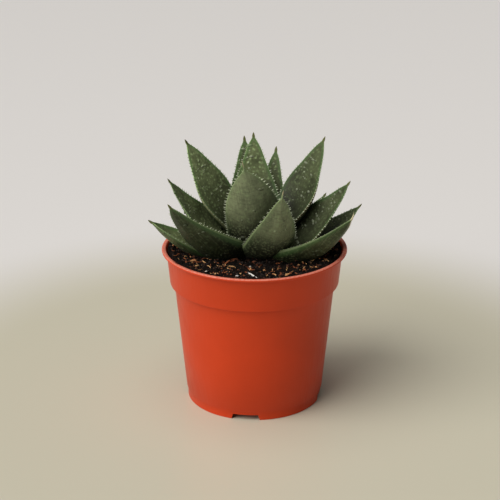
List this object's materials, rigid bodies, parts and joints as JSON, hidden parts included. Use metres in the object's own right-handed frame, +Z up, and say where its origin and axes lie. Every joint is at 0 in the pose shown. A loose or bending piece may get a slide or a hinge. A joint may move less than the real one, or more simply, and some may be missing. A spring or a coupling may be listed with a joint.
{
  "type": "potted succulent",
  "caption": "Rosette succulent with thick, keeled, toothed leaves that end in soft spikes, growing in peat soil in a round tapered plastic pot with a collar and rolled lip.",
  "frame": {"origin": "centre of the pot's foot, on the surface that it stands on", "axes": "+Z up along the pot's axis, -Y towards the viewer of the picture, +X to the viewer's right"},
  "size_m": [0.1368, 0.1213, 0.1721],
  "materials": {
    "pot_plastic": "satin",
    "peat": "matte",
    "stem": "matte",
    "leaf": "satin"
  },
  "bodies": {
    "root": {"pot": "pot_plastic", "soil": "peat", "stem": "stem", "leaf_01": "leaf", "leaf_02": "leaf", "leaf_03": "leaf", "leaf_04": "leaf", "leaf_05": "leaf", "leaf_06": "leaf", "leaf_07": "leaf", "leaf_08": "leaf", "leaf_09": "leaf", "leaf_10": "leaf", "leaf_11": "leaf", "leaf_12": "leaf", "leaf_13": "leaf", "leaf_14": "leaf", "leaf_15": "leaf", "leaf_16": "leaf", "leaf_17": "leaf", "leaf_18": "leaf", "leaf_19": "leaf", "leaf_20": "leaf", "leaf_21": "leaf", "leaf_22": "leaf"}
  },
  "joints": []
}
